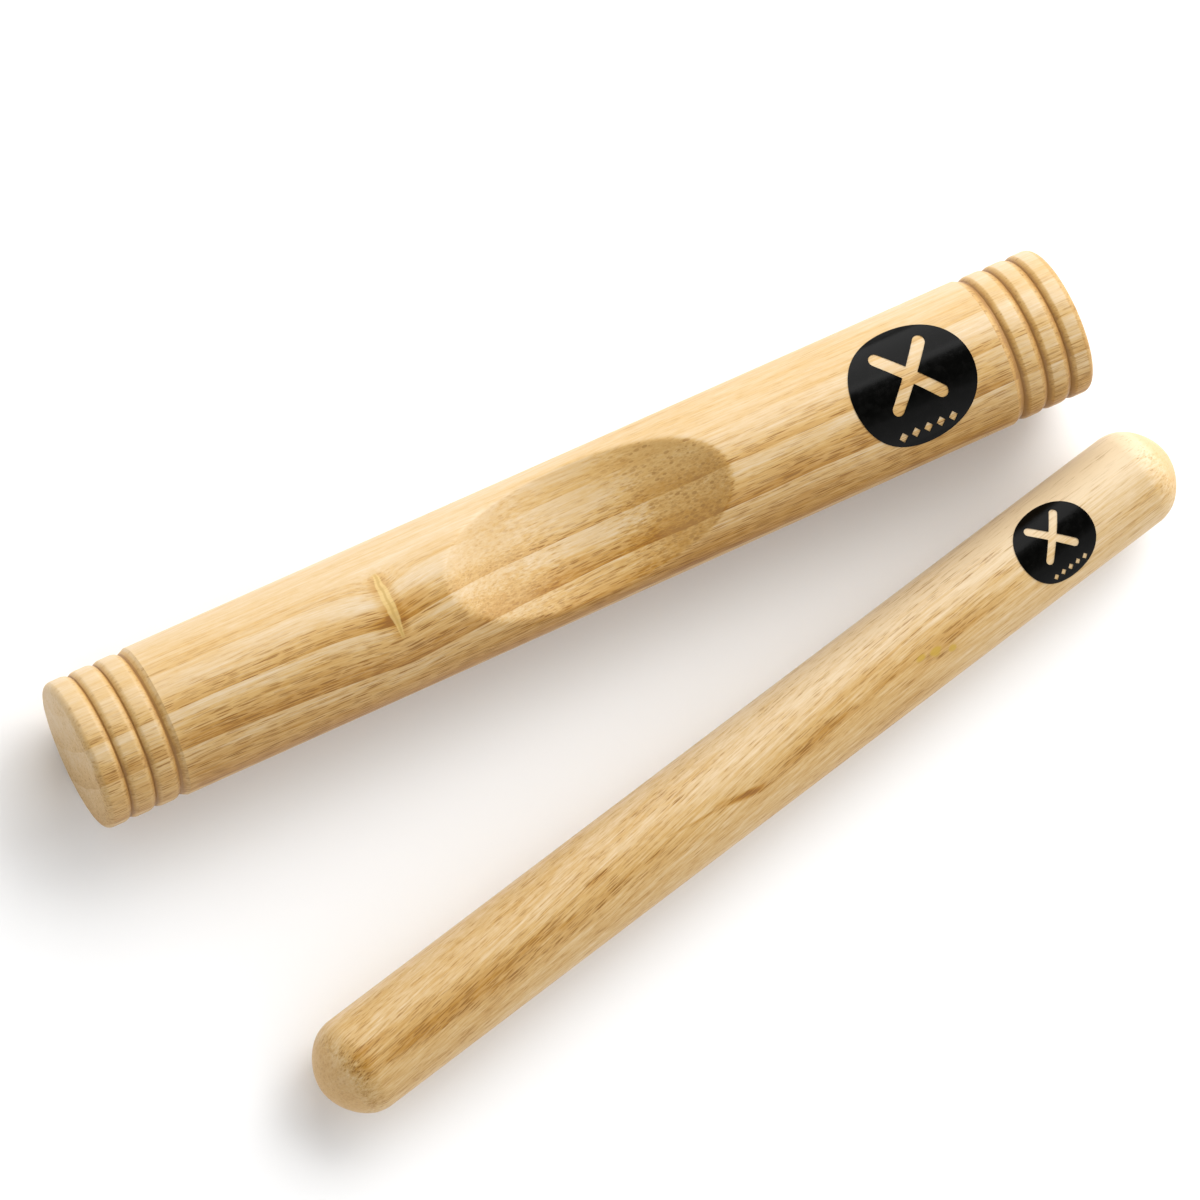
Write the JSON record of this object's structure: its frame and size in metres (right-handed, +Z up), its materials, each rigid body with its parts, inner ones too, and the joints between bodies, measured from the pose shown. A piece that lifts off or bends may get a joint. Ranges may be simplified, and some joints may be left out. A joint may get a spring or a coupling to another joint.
{
  "type": "claves",
  "caption": "Wooden claves: a thick turned clave with ringed ends and a sanded scoop, and a plain round striker with domed ends lying beside it.",
  "frame": {"origin": "middle of the pair's footprint, on the surface that both sticks lie on", "axes": "+X along the thick clave towards its badge, +Z up out of the scoop, and the striker on the -Y side"},
  "size_m": [0.2664, 0.12, 0.0364],
  "materials": {
    "clave_wood": "satin clear lacquer",
    "striker_wood": "satin clear lacquer",
    "badge_foil": "gloss black"
  },
  "bodies": {
    "clave": {"clave_body": "clave_wood", "clave_badge": "badge_foil"},
    "striker": {"striker_body": "striker_wood", "striker_badge": "badge_foil"}
  },
  "joints": [
    {"name": "striker_lift", "type": "slide", "parent": "clave", "child": "striker", "axis": [0, 0, 1], "range_m": [0, 0.15]}
  ]
}
